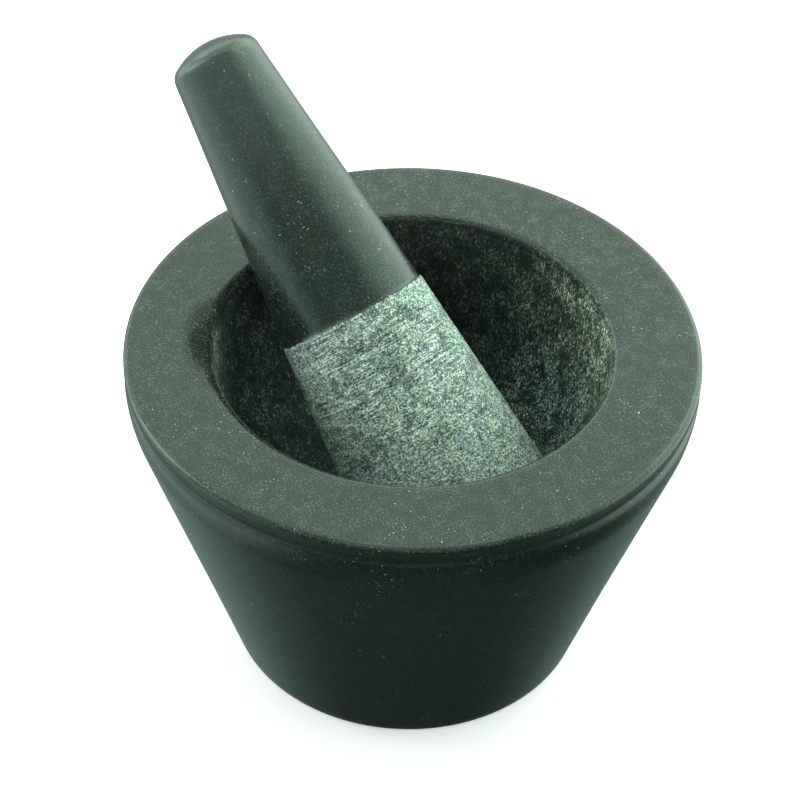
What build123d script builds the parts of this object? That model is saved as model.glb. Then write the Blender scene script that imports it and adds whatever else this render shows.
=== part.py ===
from build123d import *
import os
from math import cos, hypot, radians, sin, sqrt, tan

# Granite mortar with its pestle leaning in the bowl.
#
# Frame: +Z up, origin at the centre of the mortar's foot, lengths in millimetres. The mortar is turned about
# Z. The pestle's axis lies in the XZ plane: its grip leans over the rim towards -X, and its grinding end
# stands in the bowl towards +X.

# Mortar, outside
HEIGHT = 100.0
FOOT_RADIUS = 49.8
FOOT_ROUND = 1.6
LIP_RADIUS = 78.0  # the widest circle; the side is upright from the shoulder to the rim
LIP_ROUND = 1.6
SHOULDER_HEIGHT = 88.7  # where the cone's line would meet the upright lip
SHOULDER_ROUND = 34.0
GROOVE_HEIGHT = 94.8
GROOVE_RADIUS = 0.8  # section of the half-round groove that sets the lip off from the shoulder

# Mortar, bowl
BOWL_DEPTH = 72.0
MOUTH_RADIUS = 54.0  # edge of the bowl before it is rounded
MOUTH_ROUND = 2.2
WALL_FLARE = 7.0  # degrees from upright; the wall runs straight from the round bottom to the mouth

# Pestle, measured along its axis from the middle of the grinding end
PESTLE_LENGTH = 159.6
GRINDING_LENGTH = 76.0  # left rough from the tool; the rest is the polished grip
GRINDING_END_RADIUS = 28.0
GRINDING_TOP_RADIUS = 21.4
GRINDING_DOME_RADIUS = 62.0
GRINDING_ROUND = 9.0
GRIP_BASE_RADIUS = 21.0  # polishing takes the grip this much below the rough end
GRIP_TOP_RADIUS = 12.5
GRIP_DOME_RADIUS = 20.0
GRIP_ROUND = 4.5

# How the pestle stands in the bowl
LEAN = 45.7  # degrees from upright
SEAT_GAP = 0.25  # left between the stones at each place where they would touch


def round_reach(radius):
    """How far a round between a level line and the flared wall reaches along the level line."""
    flare = radians(WALL_FLARE)
    return radius * (1 / cos(flare) - tan(flare))


def bowl_radius():
    """Radius of the bowl's bottom, which is one round from the flared wall to the bowl's middle."""
    wall_foot_radius = MOUTH_RADIUS - BOWL_DEPTH * tan(radians(WALL_FLARE))
    return wall_foot_radius / round_reach(1)


def bowl_centre_height():
    return HEIGHT - BOWL_DEPTH + bowl_radius()


def dome_rise(dome_radius, edge_radius):
    """How far a dome's middle stands out from its edge."""
    return dome_radius - sqrt(dome_radius**2 - edge_radius**2)


def grinding_side():
    """Foot and top of the rough side as (radius, height)."""
    foot = (GRINDING_END_RADIUS, dome_rise(GRINDING_DOME_RADIUS, GRINDING_END_RADIUS))
    return foot, (GRINDING_TOP_RADIUS, GRINDING_LENGTH)


def grip_side():
    """Foot and top of the polished side as (radius, height)."""
    top = (GRIP_TOP_RADIUS, PESTLE_LENGTH - dome_rise(GRIP_DOME_RADIUS, GRIP_TOP_RADIUS))
    return (GRIP_BASE_RADIUS, GRINDING_LENGTH), top


def taper_and_base(side):
    """Radius lost for each millimetre of height, and the radius carried on down to height 0."""
    (foot_radius, foot_height), (top_radius, top_height) = side
    taper = (foot_radius - top_radius) / (top_height - foot_height)
    return taper, foot_radius + taper * foot_height


def grinding_round_centre():
    """Radius and height of the centre of the round between the grinding end's dome and side."""
    taper, base_radius = taper_and_base(grinding_side())
    inset_radius = base_radius - GRINDING_ROUND * hypot(1, taper)
    inset_dome = GRINDING_DOME_RADIUS - GRINDING_ROUND
    a = 1 + taper**2
    half_b = inset_radius * taper + GRINDING_DOME_RADIUS
    c = inset_radius**2 + GRINDING_DOME_RADIUS**2 - inset_dome**2
    height = (half_b - sqrt(half_b**2 - a * c)) / a
    return inset_radius - taper * height, height


def pestle_plane():
    """Plane with its origin at the middle of the grinding end and its Y axis along the pestle.

    The grip's lower side passes the mouth's round edge at SEAT_GAP, and the pestle is let down along that
    side until the round of its grinding end is SEAT_GAP from the bottom of the bowl.
    """
    across = Vector(cos(radians(LEAN)), 0, sin(radians(LEAN)))
    along = Vector(-across.Z, 0, across.X)
    taper, base_radius = taper_and_base(grip_side())
    side_normal = (along * taper - across).normalized()
    side_direction = (along + across * taper).normalized()

    mouth_centre = Vector(-MOUTH_RADIUS - round_reach(MOUTH_ROUND), 0, HEIGHT - MOUTH_ROUND)
    start = mouth_centre - side_normal * (base_radius / hypot(1, taper) + MOUTH_ROUND + SEAT_GAP)

    round_radius, round_height = grinding_round_centre()
    round_centre = start + along * round_height - across * round_radius
    from_bowl = round_centre - Vector(0, 0, bowl_centre_height())
    reach = bowl_radius() - GRINDING_ROUND - SEAT_GAP
    half_b = from_bowl.dot(side_direction)
    slide = -half_b - sqrt(half_b**2 - from_bowl.dot(from_bowl) + reach**2)
    return Plane(origin=start + side_direction * slide, x_dir=across, z_dir=(0, -1, 0))


def rings(turned):
    """The full circles of a turned piece, without the arcs of its seams."""
    return turned.edges().filter_by(lambda edge: edge.is_closed)


# Mortar: one block of stone, turned outside and hollowed
with BuildPart() as mortar:
    # foot, cone, round shoulder and upright lip
    with BuildSketch(Plane.XZ):
        Polygon(
            (0, 0),
            (FOOT_RADIUS, 0),
            (LIP_RADIUS, SHOULDER_HEIGHT),
            (LIP_RADIUS, HEIGHT),
            (0, HEIGHT),
            align=None,
        )
    revolve(axis=Axis.Z)
    fillet(rings(mortar).sort_by(Axis.Z)[1], SHOULDER_ROUND)
    fillet(rings(mortar).sort_by(Axis.Z)[0], FOOT_ROUND)
    fillet(rings(mortar).sort_by(Axis.Z)[-1], LIP_ROUND)

    # groove between the shoulder and the lip
    with BuildSketch(Plane.XZ):
        with Locations((LIP_RADIUS, GROOVE_HEIGHT)):
            Circle(GROOVE_RADIUS)
    revolve(axis=Axis.Z, mode=Mode.SUBTRACT)

    # bowl: round bottom, flared wall and round mouth
    with BuildSketch(Plane.XZ):
        with BuildLine():
            centre = (0, bowl_centre_height())
            bottom = CenterArc(centre, bowl_radius(), -90, 90 - WALL_FLARE)
            wall = Line(bottom @ 1, (MOUTH_RADIUS, HEIGHT))
            Polyline(wall @ 1, (0, HEIGHT), bottom @ 0)
        make_face()
    revolve(axis=Axis.Z, mode=Mode.SUBTRACT)
    fillet(rings(mortar).group_by(Axis.Z)[-1].sort_by(SortBy.RADIUS)[0], MOUTH_ROUND)

# Pestle: one tapered bar, rough at the grinding end and polished at the grip
stand = pestle_plane()
pestle_axis = Axis(stand.origin, stand.y_dir)
with BuildPart() as pestle:
    # grinding end, with a domed face
    with BuildSketch(stand):
        with BuildLine():
            foot, top = grinding_side()
            RadiusArc((0, 0), foot, -GRINDING_DOME_RADIUS)
            Polyline(foot, top, (0, GRINDING_LENGTH), (0, 0))
        make_face()
    revolve(axis=pestle_axis)
    fillet(rings(pestle).sort_by(pestle_axis)[0], GRINDING_ROUND)

    # grip, a small step below the rough side, with a domed top
    with BuildSketch(stand):
        with BuildLine():
            foot, top = grip_side()
            Polyline((0, PESTLE_LENGTH), (0, GRINDING_LENGTH), foot, top)
            RadiusArc(top, (0, PESTLE_LENGTH), -GRIP_DOME_RADIUS)
        make_face()
    revolve(axis=pestle_axis)
    fillet(rings(pestle).sort_by(pestle_axis)[-1], GRIP_ROUND)

os.makedirs("parts", exist_ok=True)

mortar.part.label = "mortar"
export_step(mortar.part, "parts/mortar.step")

pestle.part.label = "pestle"
export_step(pestle.part, "parts/pestle.step")
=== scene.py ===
"""Looks of the granite mortar and pestle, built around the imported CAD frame. Lengths are in metres.

Each stone is one dense mesh turned from its outline, then worked over as a mason's tools and wear would
leave it, and it takes the place of its plain CAD node.
"""

from collections import namedtuple
from math import ceil, cos, hypot, pi, radians, sin, sqrt, tan

import bpy
import numpy as np
from mathutils import Matrix, Vector, noise


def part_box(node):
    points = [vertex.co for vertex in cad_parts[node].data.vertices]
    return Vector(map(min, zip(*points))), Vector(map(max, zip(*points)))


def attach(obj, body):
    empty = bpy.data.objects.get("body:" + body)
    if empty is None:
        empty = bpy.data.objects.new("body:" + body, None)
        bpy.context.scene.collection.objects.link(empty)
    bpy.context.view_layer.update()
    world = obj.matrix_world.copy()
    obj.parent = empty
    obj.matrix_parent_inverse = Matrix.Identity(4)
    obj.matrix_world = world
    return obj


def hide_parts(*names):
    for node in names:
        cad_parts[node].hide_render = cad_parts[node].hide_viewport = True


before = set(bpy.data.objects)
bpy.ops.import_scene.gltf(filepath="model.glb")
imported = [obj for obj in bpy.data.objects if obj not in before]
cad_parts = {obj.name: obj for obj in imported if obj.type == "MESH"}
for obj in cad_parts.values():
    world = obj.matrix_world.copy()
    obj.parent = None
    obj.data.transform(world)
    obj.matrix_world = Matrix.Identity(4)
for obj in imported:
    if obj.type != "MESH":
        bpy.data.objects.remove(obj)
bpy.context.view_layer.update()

MM = 0.001
UP = (0, 0, 1)

# Mortar, beyond what its CAD box gives
FOOT_RADIUS = 49.8 * MM
FOOT_ROUND = 1.6 * MM
SHOULDER_HEIGHT = 88.7 * MM
SHOULDER_ROUND = 34.0 * MM
LIP_RADIUS = 78.0 * MM
LIP_ROUND = 1.6 * MM
GROOVE_HEIGHT = 94.8 * MM
GROOVE_RADIUS = 0.8 * MM
BOWL_DEPTH = 72.0 * MM
MOUTH_RADIUS = 54.0 * MM
MOUTH_ROUND = 2.2 * MM
WALL_FLARE = radians(7.0)

# Pestle, measured along its axis from the grinding end
GRINDING_LENGTH = 76.0 * MM
GRINDING_END_RADIUS = 28.0 * MM
GRINDING_TOP_RADIUS = 21.4 * MM
GRINDING_DOME_RADIUS = 62.0 * MM
GRINDING_ROUND = 9.0 * MM
GRIP_BASE_RADIUS = 21.0 * MM
GRIP_TOP_RADIUS = 12.5 * MM
GRIP_DOME_RADIUS = 20.0 * MM
GRIP_ROUND = 4.5 * MM
LEAN = radians(45.7)

# How finely the stones are turned
MORTAR_SEGMENTS = 400
PESTLE_SEGMENTS = 314
DOME_STEP = 0.9 * MM
ROUGH_STEP = 0.36 * MM
POLISHED_STEP = 1.6 * MM
SAME_PLACE = 1e-6

# Relief, as (height, size of its bumps, seed)
MORTAR_WAVE = (0.25 * MM, 60 * MM, 0)
BOWL_MARKS = [(0.22 * MM, 3.2 * MM, 5), (0.16 * MM, 1.6 * MM, 9)]
PESTLE_WAVE = (0.15 * MM, 40 * MM, 11)
PESTLE_SCORES = (0.08 * MM, 0.9 * MM, 3)
PESTLE_MARKS = (0.1 * MM, 1.2 * MM, 7)
SCORE_STRETCH = (0.06, 0.06, 1.0)  # the scores run round the pestle
WAVE_FROM_FOOT = 10 * MM  # the foot is ground level, and the wave grows to its full height above it
MARKS_FROM_MOUTH = 7 * MM  # the tool marks grow to their full height over this depth
MARKS_AT_MOUTH = 0.1
GROOVE_DEPTH = 0.92 * GROOVE_RADIUS
GROOVE_REACH_UP = 1.5 * GROOVE_RADIUS
GROOVE_REACH_DOWN = 1.7 * GROOVE_RADIUS
EDGE_WEAR_AND_HIGHLIGHT_RADIUS = LIP_RADIUS - 0.6 * LIP_ROUND  # wear and painted highlight are strongest high on the lip's round
EDGE_WEAR_AND_HIGHLIGHT_BELOW_RIM = 0.1 * LIP_ROUND
EDGE_WEAR_AND_HIGHLIGHT_REACH = 0.7 * MM

# Camera: a long lens that looks down on the rim
CAMERA_AZIMUTH = radians(45.6)  # of the camera's right hand, from +X
CAMERA_ELEVATION = radians(41.36)
CAMERA_ROLL = radians(1.4)
CAMERA_DISTANCE = 0.8078
LENS_MM = 135.0
SENSOR_MM = 36.0
AIM_LEFT = 3.04 * MM  # the picture's centre, from the middle of the rim
AIM_BELOW = 15.13 * MM
FLOOR_HALF = 4.0


# ---------------------------------------------------------------- outlines


def arc_points(centre, radius, start, end, step):
    """Points on an arc in the (radius, height) plane, both ends included, no more than step apart."""
    count = max(3, ceil(abs(end - start) * radius / step))
    angles = np.linspace(start, end, count + 1)
    return [(centre[0] + radius * cos(a), centre[1] + radius * sin(a)) for a in angles]


def round_corner(before, corner, after, radius, step):
    """The arc of the given radius that takes the corner's place between its two runs."""
    to_before = Vector(before) - Vector(corner)
    to_after = Vector(after) - Vector(corner)
    half = to_before.angle(to_after) / 2
    bisector = (to_before.normalized() + to_after.normalized()).normalized()
    centre = Vector(corner) + bisector * (radius / sin(half))
    first = Vector(corner) + to_before.normalized() * (radius / tan(half)) - centre
    last = Vector(corner) + to_after.normalized() * (radius / tan(half)) - centre
    start = np.arctan2(first.y, first.x)
    turn = (np.arctan2(last.y, last.x) - start + pi) % (2 * pi) - pi
    return arc_points(centre, radius, start, start + turn, step)


def trace(corners):
    """An outline as points (radius, height) and the work of the stretch that each lies on.

    A corner is (point, round radius, step, work): step is the spacing along the run that leaves it, and
    work names how that run is finished.
    """
    points, works = [], []
    for i, (corner, radius, step, work) in enumerate(corners):
        if radius:
            arc_step = min(step, radius / 3)
            bend = round_corner(corners[i - 1][0], corner, corners[i + 1][0], radius, arc_step)
        else:
            bend = [corner]
        if points:
            run_start, run_end = Vector(points[-1]), Vector(bend[0])
            run = (run_end - run_start).length
            spacing = corners[i - 1][2]
            for k in range(1, ceil(run / spacing)):
                points.append(tuple(run_start.lerp(run_end, k * spacing / run)))
                works.append(corners[i - 1][3])
        for point in bend:
            if not points or (Vector(point) - Vector(points[-1])).length > SAME_PLACE:
                points.append(tuple(point))
                works.append(work)
    return np.array(points), np.array(works)


def mortar_outline(height):
    floor = height - BOWL_DEPTH
    wall_foot = MOUTH_RADIUS - BOWL_DEPTH * tan(WALL_FLARE)
    bowl_radius = wall_foot / (1 / cos(WALL_FLARE) - tan(WALL_FLARE))
    # a full round would end on the axis itself, so it stops this much short
    bottom_round = bowl_radius - 0.01 * MM
    return trace(
        [
            ((0, 0), 0, 4.0 * MM, "foot"),
            ((FOOT_RADIUS, 0), FOOT_ROUND, 2.6 * MM, "outside"),
            ((LIP_RADIUS, SHOULDER_HEIGHT), SHOULDER_ROUND, 1.0 * MM, "outside"),
            ((LIP_RADIUS, GROOVE_HEIGHT - GROOVE_RADIUS), 0, 0.22 * MM, "outside"),
            ((LIP_RADIUS, GROOVE_HEIGHT + 3 * GROOVE_RADIUS), 0, 0.5 * MM, "outside"),
            ((LIP_RADIUS, height), LIP_ROUND, 1.5 * MM, "outside"),
            ((MOUTH_RADIUS, height), MOUTH_ROUND, 0.9 * MM, "bowl"),
            ((wall_foot, floor), bottom_round, 0.95 * MM, "bowl"),
            ((0, floor), 0, 0.95 * MM, "bowl"),
        ]
    )


def domed_end(base, taper, apex, dome, bend, step):
    """Points from the side r = base - taper * z, round a bend, over a dome to its apex on the axis."""
    side = base - bend * hypot(1, taper)
    centre = apex - dome
    a = 1 + taper**2
    half_b = side * taper + centre
    height = (half_b + sqrt(half_b**2 - a * (side**2 + centre**2 - (dome - bend) ** 2))) / a
    radius = side - taper * height
    tilt = np.arctan2(height - centre, radius)
    bend_points = arc_points((radius, height), bend, np.arctan(taper), tilt, step)
    return bend_points + arc_points((0, centre), dome, tilt, pi / 2, step)[1:]


def run_points(start, end, step):
    """Points between start and end, both left out."""
    count = ceil((Vector(end) - Vector(start)).length / step)
    return [tuple(Vector(start).lerp(Vector(end), k / count)) for k in range(1, count)]


def pestle_outline(length):
    end_rise = GRINDING_DOME_RADIUS - sqrt(GRINDING_DOME_RADIUS**2 - GRINDING_END_RADIUS**2)
    top_fall = GRIP_DOME_RADIUS - sqrt(GRIP_DOME_RADIUS**2 - GRIP_TOP_RADIUS**2)
    rough_taper = (GRINDING_END_RADIUS - GRINDING_TOP_RADIUS) / (GRINDING_LENGTH - end_rise)
    grip_taper = (GRIP_BASE_RADIUS - GRIP_TOP_RADIUS) / (length - top_fall - GRINDING_LENGTH)
    rough_base = GRINDING_TOP_RADIUS + rough_taper * GRINDING_LENGTH
    grip_base = GRIP_BASE_RADIUS + grip_taper * GRINDING_LENGTH

    # the grinding end is a domed end turned upside down
    foot = domed_end(rough_base, -rough_taper, 0, GRINDING_DOME_RADIUS, GRINDING_ROUND, DOME_STEP)
    foot = [(radius, -height) for radius, height in reversed(foot)]
    edge = [
        (GRINDING_TOP_RADIUS, GRINDING_LENGTH - 0.2 * MM),
        (GRINDING_TOP_RADIUS - 0.06 * MM, GRINDING_LENGTH),
        (GRIP_BASE_RADIUS, GRINDING_LENGTH + 0.12 * MM),
    ]
    top = domed_end(grip_base, grip_taper, length, GRIP_DOME_RADIUS, GRIP_ROUND, DOME_STEP)
    rough = foot + run_points(foot[-1], edge[0], ROUGH_STEP) + edge[:2]
    polished = edge[2:] + run_points(edge[2], top[0], POLISHED_STEP) + top
    works = ["rough"] * len(rough) + ["polished"] * len(polished)
    return np.array(rough + polished), np.array(works)


# ---------------------------------------------------------------- turned stones


def relief_at(points, height, size, seed):
    """Smooth relief from -height to height at each point, with bumps about size across."""
    shift = Vector((seed, 2.3 * seed, -1.7 * seed))
    return height * np.array([noise.noise(Vector(p) / size + shift) for p in points])


def turned_mesh(name, outline, works, segments, shape):
    """A closed mesh turned about Z from an outline that starts and ends on the axis, and its works.

    shape(points, works) gives how far each point stands out along the outline's normal.
    """
    tangent = np.gradient(outline, axis=0)
    normal = np.stack([tangent[:, 1], -tangent[:, 0]], axis=1)
    normal /= np.linalg.norm(normal, axis=1)[:, None]
    rings = outline[1:-1]
    angles = np.arange(segments) * 2 * pi / segments
    spokes = np.stack([np.cos(angles), np.sin(angles)], axis=1)

    def spin(profile):
        flat = profile[:, None, :1] * spokes[None]
        height = np.broadcast_to(profile[:, None, 1:], flat.shape[:2] + (1,))
        return np.concatenate([flat, height], axis=2).reshape(-1, 3)

    points = spin(rings)
    normals = spin(normal[1:-1])
    ring_works = np.repeat(works[1:-1], segments)
    points = points + normals * shape(points, ring_works)[:, None]
    ends = np.array([(0, 0, outline[0, 1]), (0, 0, outline[-1, 1])])
    vertices = np.concatenate([points, ends])

    column = np.arange(segments)
    after = np.roll(column, -1)
    faces = []
    for ring in range(len(rings) - 1):
        low, high = ring * segments, (ring + 1) * segments
        faces.append(np.stack([low + column, low + after, high + after, high + column], axis=1))
    quads = np.concatenate(faces).tolist()
    last = (len(rings) - 1) * segments
    first_pole = len(points)
    fans = [(first_pole, int(b), int(a)) for a, b in zip(column, after)]
    fans += [(first_pole + 1, int(last + a), int(last + b)) for a, b in zip(column, after)]

    mesh = bpy.data.meshes.new(name)
    mesh.from_pydata(vertices.tolist(), [], quads + fans)
    mesh.shade_smooth()
    own_place = mesh.attributes.new("own_place", "FLOAT_VECTOR", "POINT")
    own_place.data.foreach_set("vector", vertices.astype(np.float32).ravel())
    return mesh, np.append(ring_works, [works[0], works[-1]])


def store(mesh, name, values):
    """Keeps one number per vertex for the materials to read."""
    attribute = mesh.attributes.new(name, "FLOAT", "POINT")
    attribute.data.foreach_set("value", np.asarray(values, dtype=np.float32))


def add_object(name, data):
    """Puts a mesh, camera or light into the scene."""
    thing = bpy.data.objects.new(name, data)
    bpy.context.collection.objects.link(thing)
    return thing


def make_mortar():
    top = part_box("mortar")[1].z
    outline, works = mortar_outline(top)

    def shape(points, ring_works):
        height = points[:, 2]
        wave = relief_at(points, *MORTAR_WAVE) * np.clip(height / WAVE_FROM_FOOT, 0, 1)
        marks = sum(relief_at(points, *layer) for layer in BOWL_MARKS)
        marks = marks * np.clip((top - height) / MARKS_FROM_MOUTH, MARKS_AT_MOUTH, 1)
        above = height - GROOVE_HEIGHT
        reach = above / np.where(above > 0, GROOVE_REACH_UP, GROOVE_REACH_DOWN)
        on_side = np.hypot(points[:, 0], points[:, 1]) > MOUTH_RADIUS + MOUTH_ROUND
        groove = -GROOVE_DEPTH * np.exp(-(reach**2)) * on_side
        return wave + np.where(ring_works == "bowl", marks, groove)

    mesh, all_works = turned_mesh("mortar_stone", outline, works, MORTAR_SEGMENTS, shape)
    heights = np.array([v.co.z for v in mesh.vertices])
    radii = np.array([hypot(v.co.x, v.co.y) for v in mesh.vertices])
    store(mesh, "bowl_depth", np.where(all_works == "bowl", top - heights, 0))
    from_edge = np.hypot(radii - EDGE_WEAR_AND_HIGHLIGHT_RADIUS, heights - top + EDGE_WEAR_AND_HIGHLIGHT_BELOW_RIM)
    store(mesh, "edge_wear_and_highlight", np.exp(-((from_edge / EDGE_WEAR_AND_HIGHLIGHT_REACH) ** 2)))
    mesh.materials.append(mortar_granite())
    stone = add_object("mortar_stone", mesh)
    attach(stone, "mortar")
    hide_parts("mortar")


def make_pestle():
    along = Vector((-sin(LEAN), 0, cos(LEAN)))
    corners = [v.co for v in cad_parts["pestle"].data.vertices]
    foot = min(corners, key=along.dot)
    top = max(corners, key=along.dot)
    outline, works = pestle_outline((top - foot).length)

    def shape(points, ring_works):
        scores = relief_at(points * SCORE_STRETCH, *PESTLE_SCORES)
        marks = relief_at(points, *PESTLE_MARKS)
        wave = relief_at(points, *PESTLE_WAVE)
        return wave + np.where(ring_works == "rough", scores + marks, 0.0)

    mesh = turned_mesh("pestle_stone", outline, works, PESTLE_SEGMENTS, shape)[0]
    mesh.materials.append(pestle_granite())
    mesh.transform(Matrix.Translation(foot) @ Matrix.Rotation(-LEAN, 4, "Y"))
    stone = add_object("pestle_stone", mesh)
    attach(stone, "pestle")
    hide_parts("pestle")


# ---------------------------------------------------------------- granite

SHEEN_TINT = (0.68, 1.0, 0.79, 1)  # the green cast of light glancing off the dark stone
EVEN = (1, 1, 1)
USUAL = (0.3, 0.7)  # the range that most of a noise pattern lies in
TIGHT = (0.35, 0.65)  # a narrower range, for stronger contrast

# Where patterns start, so that no two of them line up
MORTAR_SEED = (1.7, 4.1, 2.9)
PESTLE_SEED = (5.3, 0.9, 7.7)
SWARM_SEED = (3, 1, 2)
FLECK_SEED = (9, 4, 6)
BRIGHT_SEED = (2, 8, 5)
WARM_SEED = (7, 5, 1)
SCORED_SEED = (1, 6, 3)

# Stone under a smooth surface: between its grains, and the palest of them
SIDE_STONE, SIDE_GRAIN = (0.006, 0.010, 0.009), (0.036, 0.050, 0.042)
HONED_STONE, HONED_GRAIN = (0.006, 0.009, 0.007), (0.085, 0.115, 0.082)
GRIP_STONE, GRIP_GRAIN = (0.008, 0.012, 0.011), (0.066, 0.086, 0.076)
CLOUD_TINTS = [(0.36, (0.80, 0.90, 1.15)), (0.5, EVEN), (0.66, (1.4, 1.2, 0.9))]
FLECK = (0.56, 0.66, 0.50)
# the rim's worn pale edge, which also stands in as a painted highlight
WORN_EDGE_AND_HIGHLIGHT = (0.048, 0.062, 0.058)
HANDLED = (0.100, 0.130, 0.116)
WARM_TINT = (1.07, 1.03, 0.84)

# Stone laid open by the tool, from its darkest crystals to its palest
# the bowl's crystals away from its lit side
SHADED_SIDE_CRYSTALS = [
    (0.0, (0.030, 0.040, 0.038)),
    (0.5, (0.058, 0.076, 0.070)),
    (0.8, (0.140, 0.172, 0.145)),
    (1.0, (0.60, 0.66, 0.46)),
]
# the bowl's crystals on its lit side, painted paler and more contrasty as painted light
LIT_SIDE_CRYSTALS = [
    (0.0, (0.006, 0.011, 0.009)),
    (0.45, (0.026, 0.043, 0.034)),
    (0.75, (0.17, 0.225, 0.168)),
    (1.0, (0.86, 1.0, 0.72)),
]
GRINDING_CRYSTALS = [
    (0.0, (0.030, 0.048, 0.046)),
    (0.3, (0.10, 0.15, 0.135)),
    (0.6, (0.25, 0.36, 0.30)),
    (0.85, (0.46, 0.62, 0.52)),
    (1.0, (0.74, 0.90, 0.80)),
]

# Roughness of each finish
SIDE_ROUGHNESS = 0.27
LIP_ROUGHNESS = 0.58
HONED_ROUGHNESS = 0.105
GRIP_ROUGHNESS = 0.25
BOWL_ROUGHNESS = 0.62
GRINDING_ROUGHNESS = 0.8
POLISHED_RELIEF = 0.1  # what polishing leaves of the relief
BOWL_RELIEF = 0.12 * MM
GRINDING_RELIEF = 0.14 * MM

# The mortar's zones, each from where it begins to where it is full
HONED_ZONE = (98.3 * MM, 99.2 * MM)  # heights
LIP_ZONE = (GROOVE_HEIGHT - GROOVE_RADIUS, GROOVE_HEIGHT)
LOW_ZONE = (70 * MM, 5 * MM)
FOOT_PAINTED_SHADE = (0.45, 0.45, 0.45)
EDGE_ZONE = (0.25, 1.1)  # of the edge's wear and painted highlight
BOWL_ZONE = (0.35 * MM, 0.95 * MM)  # depths in the bowl
# painted shade just inside the bowl's mouth
MOUTH_ZONE = (3.2 * MM, 1.0 * MM)
MOUTH_PAINTED_SHADE = (0.42, 0.42, 0.42)
DEEP_ZONE = (14 * MM, 42 * MM)
DEEP_TINT = (0.92, 1.06, 1.22)
LIT_SIDE = (0.70, 0.714, 0)  # the bowl's lit side, painted with paler, more contrasty crystals as painted light
LIT_SIDE_ZONE = (0, 42 * MM)
SHADED_FAR_SIDE = (-0.714, 0.70, 0)  # the bowl's far side, painted darker as painted shade
SHADED_FAR_ZONE = (24 * MM, 48 * MM)
FAR_SIDE_PAINTED_SHADE = (0.30, 0.27, 0.29)

# The pestle's zones, along its axis
HANDLED_ZONE = (0.095, 0.155)
HANDLED_AMOUNT = 0.32
SCORED_ZONE = (0.035, 0.076)
GRINDING_ZONE = (GRINDING_LENGTH + 0.1 * MM, GRINDING_LENGTH - 0.05 * MM)


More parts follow.
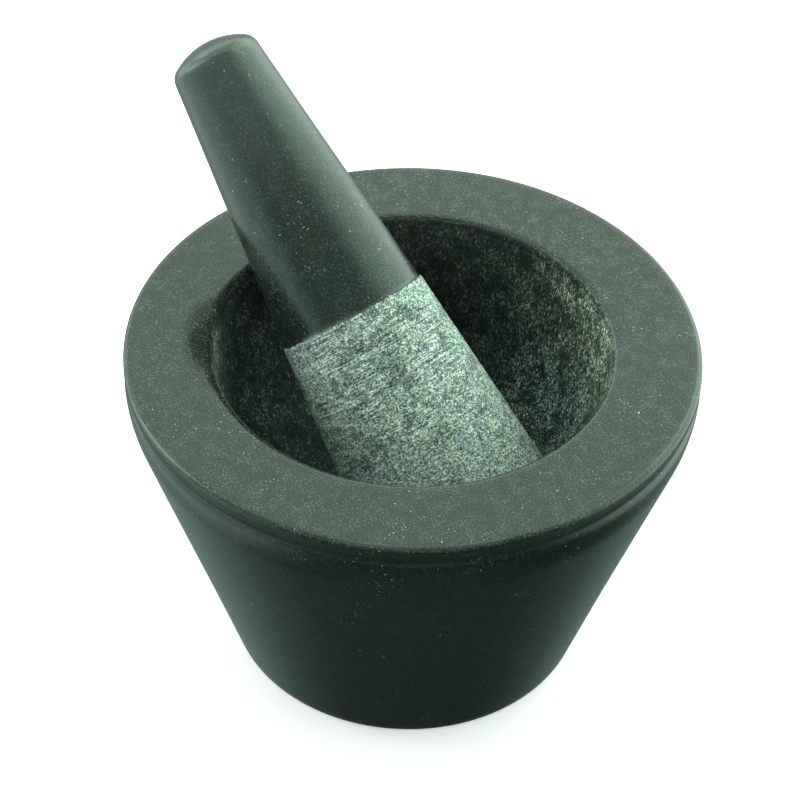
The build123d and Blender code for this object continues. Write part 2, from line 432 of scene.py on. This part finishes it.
class Graph:
    """A procedural material whose patterns lie in a stone's own space, with its axis along Z."""

    def __init__(self, name):
        self.material = bpy.data.materials.new(name)
        self.material.use_nodes = True
        self.nodes = self.material.node_tree.nodes
        self.links = self.material.node_tree.links
        self.shader = self.nodes["Principled BSDF"]
        node = self.nodes.new("ShaderNodeAttribute")
        node.attribute_name = "own_place"
        self.place = node.outputs["Vector"]

    def put(self, socket, value):
        """Feeds a socket from another socket or sets it to a constant."""
        if isinstance(value, bpy.types.NodeSocket):
            self.links.new(value, socket)
        else:
            socket.default_value = value

    def stored(self, name):
        """The number that each vertex of the stone keeps under a name."""
        node = self.nodes.new("ShaderNodeAttribute")
        node.attribute_name = name
        return node.outputs["Fac"]

    def math(self, operation, a, b=0.0, clamp=False):
        node = self.nodes.new("ShaderNodeMath")
        node.operation = operation
        node.use_clamp = clamp
        self.put(node.inputs[0], a)
        self.put(node.inputs[1], b)
        return node.outputs[0]

    def scaled(self, size, stretch=EVEN, shift=(0, 0, 0)):
        """The stone's own place divided by a size in metres, stretched along its axes."""
        node = self.nodes.new("ShaderNodeMapping")
        self.put(node.inputs["Vector"], self.place)
        node.inputs["Scale"].default_value = [1 / (size * k) for k in stretch]
        node.inputs["Location"].default_value = shift
        return node.outputs["Vector"]

    def noise(self, size, detail, shift=(0, 0, 0), stretch=EVEN):
        node = self.nodes.new("ShaderNodeTexNoise")
        self.put(node.inputs["Vector"], self.scaled(size, stretch, shift))
        node.inputs["Scale"].default_value = 1.0
        node.inputs["Detail"].default_value = detail
        return node.outputs["Fac"]

    def crystals(self, size, stretch, shift):
        """A random value from 0 to 1 for each of a mass of crystals with ragged outlines."""
        place = self.scaled(size, stretch, shift)
        tangle = self.nodes.new("ShaderNodeTexNoise")
        self.put(tangle.inputs["Vector"], place)
        tangle.inputs["Scale"].default_value = 1.6
        ragged = self.nodes.new("ShaderNodeVectorMath")
        ragged.operation = "MULTIPLY_ADD"
        self.put(ragged.inputs[0], tangle.outputs["Color"])
        ragged.inputs[1].default_value = (0.9, 0.9, 0.9)
        self.put(ragged.inputs[2], place)
        cells = self.nodes.new("ShaderNodeTexVoronoi")
        self.put(cells.inputs["Vector"], ragged.outputs["Vector"])
        cells.inputs["Scale"].default_value = 1.0
        channels = self.nodes.new("ShaderNodeSeparateColor")
        self.put(channels.inputs[0], cells.outputs["Color"])
        return channels.outputs[0]

    def between(self, value, low, high):
        """0 up to low, 1 from high on and smooth between; low may be the greater of the two."""
        node = self.nodes.new("ShaderNodeMapRange")
        node.interpolation_type = "SMOOTHSTEP"
        self.put(node.inputs["Value"], value)
        node.inputs["From Min"].default_value = low
        node.inputs["From Max"].default_value = high
        return node.outputs["Result"]

    def spread(self, value, low, high, to_low, to_high):
        """The value, with its range from low to high turned into one from to_low to to_high."""
        node = self.nodes.new("ShaderNodeMapRange")
        self.put(node.inputs["Value"], value)
        node.inputs["From Min"].default_value = low
        node.inputs["From Max"].default_value = high
        self.put(node.inputs["To Min"], to_low)
        self.put(node.inputs["To Max"], to_high)
        return node.outputs["Result"]

    def blend(self, mask, outside, inside):
        """One number where the mask is 0, another where it is 1."""
        return self.spread(mask, 0, 1, outside, inside)

    def varied(self, size, detail, low, high, shift=(0, 0, 0), stretch=EVEN, span=USUAL):
        """Noise that runs from low to high."""
        return self.spread(self.noise(size, detail, shift, stretch), *span, low, high)

    def ramp(self, value, stops):
        node = self.nodes.new("ShaderNodeValToRGB")
        self.put(node.inputs[0], value)
        elements = node.color_ramp.elements
        while len(elements) < len(stops):
            elements.new(0.5)
        for element, (position, colour) in zip(elements, stops):
            element.position = position
            element.color = (*colour, 1)
        return node.outputs["Color"]

    def mix(self, factor, a, b, blend="MIX"):
        node = self.nodes.new("ShaderNodeMix")
        node.data_type = "RGBA"
        node.blend_type = blend
        self.put(node.inputs["Factor"], factor)
        self.put(node.inputs["A"], a if not isinstance(a, tuple) else (*a, 1))
        self.put(node.inputs["B"], b if not isinstance(b, tuple) else (*b, 1))
        return node.outputs["Result"]

    def tinted(self, colour, tint):
        return self.mix(1.0, colour, tint, "MULTIPLY")

    def tinted_in(self, mask, colour, tint):
        """The colour, multiplied by a tint where the mask is 1."""
        return self.mix(mask, colour, self.tinted(colour, tint))

    def along(self, direction):
        """How far the stone's own place lies along a direction."""
        node = self.nodes.new("ShaderNodeVectorMath")
        node.operation = "DOT_PRODUCT"
        self.put(node.inputs[0], self.place)
        node.inputs[1].default_value = direction
        return node.outputs["Value"]

    def finish(self, colour, roughness, bump_height, bump_depth):
        self.shader.inputs["Specular Tint"].default_value = SHEEN_TINT
        self.put(self.shader.inputs["Base Color"], colour)
        self.put(self.shader.inputs["Roughness"], roughness)
        bump = self.nodes.new("ShaderNodeBump")
        bump.inputs["Distance"].default_value = bump_depth
        self.put(bump.inputs["Height"], bump_height)
        self.put(self.shader.inputs["Normal"], bump.outputs["Normal"])
        return self.material


def polished_granite(g, seed, stone, pale, roughness):
    """Dark green-grey stone under a smooth surface: its colour, roughness and relief.

    stone is the colour between the crystals and pale that of the palest ones.
    """
    clouds = g.noise(12 * MM, detail=4, shift=seed)
    colour = g.tinted(g.ramp(clouds, CLOUD_TINTS), stone)
    drifts = g.varied(4 * MM, detail=3, low=-0.06, high=0.06, shift=seed)
    grain = g.math("ADD", g.noise(0.5 * MM, detail=4, shift=seed), drifts)
    colour = g.mix(g.between(grain, 0.48, 0.78), colour, pale)

    # sparse bright flecks that gather in swarms
    swarm = g.between(g.noise(9 * MM, detail=3, shift=SWARM_SEED), 0.50, 0.62)
    fleck = g.math("ADD", g.noise(0.62 * MM, detail=3, shift=FLECK_SEED), g.blend(swarm, 0.0, 0.085))
    bright = g.varied(2.5 * MM, detail=1, low=0.15, high=1.0, shift=BRIGHT_SEED, span=TIGHT)
    flecks = g.math("MULTIPLY", g.between(fleck, 0.74, 0.79), bright)
    colour = g.mix(flecks, colour, FLECK)
    uneven = g.varied(2.0 * MM, detail=3, low=-0.01, high=0.015, shift=seed)
    relief = g.noise(1.0 * MM, detail=3, shift=seed)
    return colour, g.math("ADD", roughness, uneven), relief


def ground_granite(g, seed, stretch, lines):
    """Stone left rough by the tool: how pale each of its crystals is, from 0 to 1."""
    small = g.blend(g.crystals(0.33 * MM, stretch, seed), 0.10, 0.90)
    large = g.blend(g.crystals(0.9 * MM, stretch, seed), -0.14, 0.14)
    fine = g.varied(0.45 * MM, detail=4, low=-0.2, high=0.2, shift=seed, stretch=stretch)
    blotches = g.varied(6 * MM, detail=5, low=0.04, high=-0.20, shift=seed, span=(0.50, 0.66))
    value = g.math("ADD", small, large)
    value = g.math("ADD", value, fine)
    value = g.math("ADD", value, blotches)
    return g.math("ADD", value, lines, clamp=True)


def warmed(g, colour, amount):
    """The colour with yellower patches in it."""
    patches = g.between(g.noise(5 * MM, detail=2, shift=WARM_SEED), 0.45, 0.7)
    return g.tinted_in(g.math("MULTIPLY", patches, amount), colour, WARM_TINT)


def mortar_granite():
    g = Graph("mortar_granite")
    seed = MORTAR_SEED
    height = g.along(UP)
    honed = g.between(height, *HONED_ZONE)
    stone = g.mix(honed, SIDE_STONE, HONED_STONE)
    pale = g.mix(honed, SIDE_GRAIN, HONED_GRAIN)
    side_polish = g.blend(g.between(height, *LIP_ZONE), SIDE_ROUGHNESS, LIP_ROUGHNESS)
    polish = g.blend(honed, side_polish, HONED_ROUGHNESS)
    smooth, roughness, relief = polished_granite(g, seed, stone, pale, polish)
    # painted shade: the smooth stone darkened towards the foot
    smooth = g.tinted_in(g.between(height, *LOW_ZONE), smooth, FOOT_PAINTED_SHADE)

    # the edge round the rim, rubbed pale in patches and painted with a highlight line
    edge_patches = g.varied(22 * MM, detail=2, low=0.35, high=1.1, shift=seed, span=TIGHT)
    wear = g.math("MULTIPLY", g.stored("edge_wear_and_highlight"), edge_patches)
    wear = g.math("ADD", wear, g.varied(0.6 * MM, detail=3, low=-0.25, high=0.25, shift=seed))
    smooth = g.mix(g.between(wear, *EDGE_ZONE), smooth, WORN_EDGE_AND_HIGHLIGHT)

    # the bowl: painted paler and more contrasty on its lit side, with painted shade on its far side and
    # at the mouth, and cooler below
    patches = g.varied(10 * MM, detail=4, low=-0.09, high=0.09, span=TIGHT)
    crystals = ground_granite(g, seed, (0.8, 0.8, 2.0), patches)
    lit_side = g.between(g.along(LIT_SIDE), *LIT_SIDE_ZONE)
    rough = g.mix(lit_side, g.ramp(crystals, SHADED_SIDE_CRYSTALS), g.ramp(crystals, LIT_SIDE_CRYSTALS))
    rough = g.tinted_in(g.between(g.along(SHADED_FAR_SIDE), *SHADED_FAR_ZONE), rough, FAR_SIDE_PAINTED_SHADE)
    depth = g.stored("bowl_depth")
    rough = g.tinted_in(g.between(depth, *DEEP_ZONE), rough, DEEP_TINT)
    rough = g.tinted_in(g.between(depth, *MOUTH_ZONE), rough, MOUTH_PAINTED_SHADE)

    ragged = g.varied(1.5 * MM, detail=3, low=-0.2 * MM, high=0.2 * MM, shift=seed)
    in_bowl = g.between(g.math("ADD", depth, ragged), *BOWL_ZONE)
    colour = g.mix(in_bowl, smooth, warmed(g, rough, 0.3))
    roughness = g.blend(in_bowl, roughness, BOWL_ROUGHNESS)
    relief = g.blend(in_bowl, g.math("MULTIPLY", relief, POLISHED_RELIEF), crystals)
    return g.finish(colour, roughness, relief, BOWL_RELIEF)


def pestle_granite():
    g = Graph("pestle_granite")
    seed = PESTLE_SEED
    smooth, roughness, relief = polished_granite(g, seed, GRIP_STONE, GRIP_GRAIN, GRIP_ROUGHNESS)
    height = g.along(UP)
    handled = g.blend(g.between(height, *HANDLED_ZONE), 0.0, HANDLED_AMOUNT)
    smooth = g.mix(handled, smooth, HANDLED)

    # the grinding end: scored round by the tool, most of all below the grip
    streaks = g.varied(0.42 * MM, 2, -0.5, 0.5, shift=seed, stretch=(40, 40, 1), span=TIGHT)
    scored = g.between(g.noise(12 * MM, detail=3, shift=SCORED_SEED), *TIGHT)
    strength = g.math("MULTIPLY", scored, g.spread(height, *SCORED_ZONE, 0.25, 0.9))
    paler = g.spread(height, *SCORED_ZONE, -0.015, 0.06)
    lines = g.math("ADD", g.math("MULTIPLY", streaks, strength), paler)
    crystals = ground_granite(g, seed, (1.3, 1.3, 1), lines)
    rough = g.ramp(crystals, GRINDING_CRYSTALS)

    ragged = g.varied(1.2 * MM, detail=2, low=-0.35 * MM, high=0.35 * MM, shift=seed)
    ground = g.between(g.math("ADD", height, ragged), *GRINDING_ZONE)
    colour = g.mix(ground, smooth, warmed(g, rough, 0.6))
    roughness = g.blend(ground, roughness, GRINDING_ROUGHNESS)
    relief = g.blend(ground, g.math("MULTIPLY", relief, POLISHED_RELIEF), crystals)
    return g.finish(colour, roughness, relief, GRINDING_RELIEF)


# ---------------------------------------------------------------- camera, lights, floor

# A soft pale area of the studio: the azimuth and elevation of its middle in degrees, the cosines of the
# angles from there at which it starts and is full, its strength, and its strength everywhere else
Glow = namedtuple("Glow", "azimuth elevation start full strength base colour")
GLOWS = [
    Glow(104, -12, 0.02, 0.95, 0.54, 0.055, (0.68, 1.0, 0.86, 1)),  # low behind, and the room's dimness
    Glow(186, -10, 0.55, 0.98, 1.6, 0.0, (0.88, 0.99, 1.02, 1)),  # card on the left
    Glow(20, 14, 0.40, 0.99, 3.2, 0.0, (0.90, 1.0, 0.94, 1)),  # card on the right
    Glow(-90, 41, 0.50, 0.99, 0.64, 0.0, (0.90, 1.0, 0.95, 1)),  # card beside the camera
    Glow(148, 10, 0.82, 0.99, 1.6, 0.0, (0.95, 1.0, 0.97, 1)),  # card behind, to the left
    Glow(-90, -48, 0.70, 1.0, 0.14, 0.0, (0.80, 1.0, 1.1, 1)),  # the table in front
]

# An area light: its azimuth and elevation in degrees, its distance from the rim's middle, its width and
# height in metres, and its radiance
Softbox = namedtuple("Softbox", "name azimuth elevation distance size radiance")
SOFTBOXES = [
    Softbox("back_light", 90, 40, 1.3, (2.4, 1.3), 1.75),
    Softbox("top_light", 90, 77, 1.3, (1.8, 0.32), 2.2),
    Softbox("front_light", -165, 47, 1.3, (1.3, 1.3), 0.75),
    Softbox("left_light", 172, 28, 1.2, (0.5, 1.0), 2.8),
]


def camera_axes():
    """The camera's right, away and up directions, before its roll."""
    right = Vector((cos(CAMERA_AZIMUTH), sin(CAMERA_AZIMUTH), 0))
    level = Vector((-right.y, right.x, 0))
    away = level * cos(CAMERA_ELEVATION) - Vector((0, 0, sin(CAMERA_ELEVATION)))
    return right, away, right.cross(away)


def make_camera(rim):
    right, away, up = camera_axes()
    data = bpy.data.cameras.new("camera")
    data.lens = LENS_MM
    data.sensor_width = SENSOR_MM
    data.clip_start = 0.05
    data.clip_end = 50
    camera = add_object("camera", data)
    place = rim - away * CAMERA_DISTANCE
    aim = rim - right * AIM_LEFT - up * AIM_BELOW
    facing = (aim - place).to_track_quat("-Z", "Y").to_matrix().to_4x4()
    camera.matrix_world = Matrix.Translation(place) @ facing @ Matrix.Rotation(CAMERA_ROLL, 4, "Z")
    bpy.context.scene.camera = camera


def make_floor():
    """A pale floor that the object throws its contact shadow on and isn't coloured by."""
    corners = [(x * FLOOR_HALF, y * FLOOR_HALF, 0) for x, y in ((-1, -1), (1, -1), (1, 1), (-1, 1))]
    mesh = bpy.data.meshes.new("floor")
    mesh.from_pydata(corners, [], [(0, 1, 2, 3)])
    floor = add_object("floor", mesh)
    material = bpy.data.materials.new("pale_floor")
    material.use_nodes = True
    shader = material.node_tree.nodes["Principled BSDF"]
    shader.inputs["Base Color"].default_value = (0.9, 0.9, 0.9, 1)
    shader.inputs["Roughness"].default_value = 0.9
    shader.inputs["Emission Color"].default_value = (1, 1, 1, 1)
    shader.inputs["Emission Strength"].default_value = 0.35
    floor.data.materials.append(material)
    floor.visible_glossy = False
    floor.visible_diffuse = False


def studio_direction(azimuth, elevation):
    """A direction in degrees; azimuth turns from the camera's right hand to behind the object."""
    turn = CAMERA_AZIMUTH + radians(azimuth)
    rise = radians(elevation)
    return Vector((cos(turn) * cos(rise), sin(turn) * cos(rise), sin(rise)))


def add_softbox(box, target):
    """A soft area light around target, as bright as its radiance wherever it is seen from."""
    toward = studio_direction(box.azimuth, box.elevation)
    data = bpy.data.lights.new(box.name, "AREA")
    data.shape = "RECTANGLE"
    data.size, data.size_y = box.size
    data.energy = box.radiance * pi * box.size[0] * box.size[1]
    light = add_object(box.name, data)
    turned = toward.to_track_quat("Z", "Y").to_matrix().to_4x4()
    light.matrix_world = Matrix.Translation(target + toward * box.distance) @ turned
    light.visible_camera = False


def make_world():
    """The studio's glows, and a white backdrop where the camera looks past the object."""
    world = bpy.data.worlds.new("studio")
    bpy.context.scene.world = world
    world.use_nodes = True
    nodes, links = world.node_tree.nodes, world.node_tree.links
    direction = nodes.new("ShaderNodeTexCoord").outputs["Generated"]

    def lit(glow):
        facing = nodes.new("ShaderNodeVectorMath")
        facing.operation = "DOT_PRODUCT"
        links.new(direction, facing.inputs[0])
        facing.inputs[1].default_value = studio_direction(glow.azimuth, glow.elevation)
        amount = nodes.new("ShaderNodeMapRange")
        amount.interpolation_type = "SMOOTHSTEP"
        amount.inputs["From Min"].default_value = glow.start
        amount.inputs["From Max"].default_value = glow.full
        amount.inputs["To Min"].default_value = glow.base
        amount.inputs["To Max"].default_value = glow.strength
        links.new(facing.outputs["Value"], amount.inputs["Value"])
        background = nodes.new("ShaderNodeBackground")
        background.inputs["Color"].default_value = glow.colour
        links.new(amount.outputs["Result"], background.inputs["Strength"])
        return background.outputs[0]

    light = lit(GLOWS[0])
    for glow in GLOWS[1:]:
        both = nodes.new("ShaderNodeAddShader")
        links.new(light, both.inputs[0])
        links.new(lit(glow), both.inputs[1])
        light = both.outputs[0]
    backdrop = nodes.new("ShaderNodeBackground")
    backdrop.inputs["Color"].default_value = (1, 1, 1, 1)
    choice = nodes.new("ShaderNodeMixShader")
    links.new(nodes.new("ShaderNodeLightPath").outputs["Is Camera Ray"], choice.inputs[0])
    links.new(light, choice.inputs[1])
    links.new(backdrop.outputs[0], choice.inputs[2])
    links.new(choice.outputs[0], nodes["World Output"].inputs["Surface"])
    nodes.remove(nodes["Background"])


make_mortar()
make_pestle()
rim = Vector((0, 0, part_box("mortar")[1].z))
make_camera(rim)
make_floor()
make_world()
for box in SOFTBOXES:
    add_softbox(box, rim)
bpy.context.scene.view_settings.view_transform = "Standard"
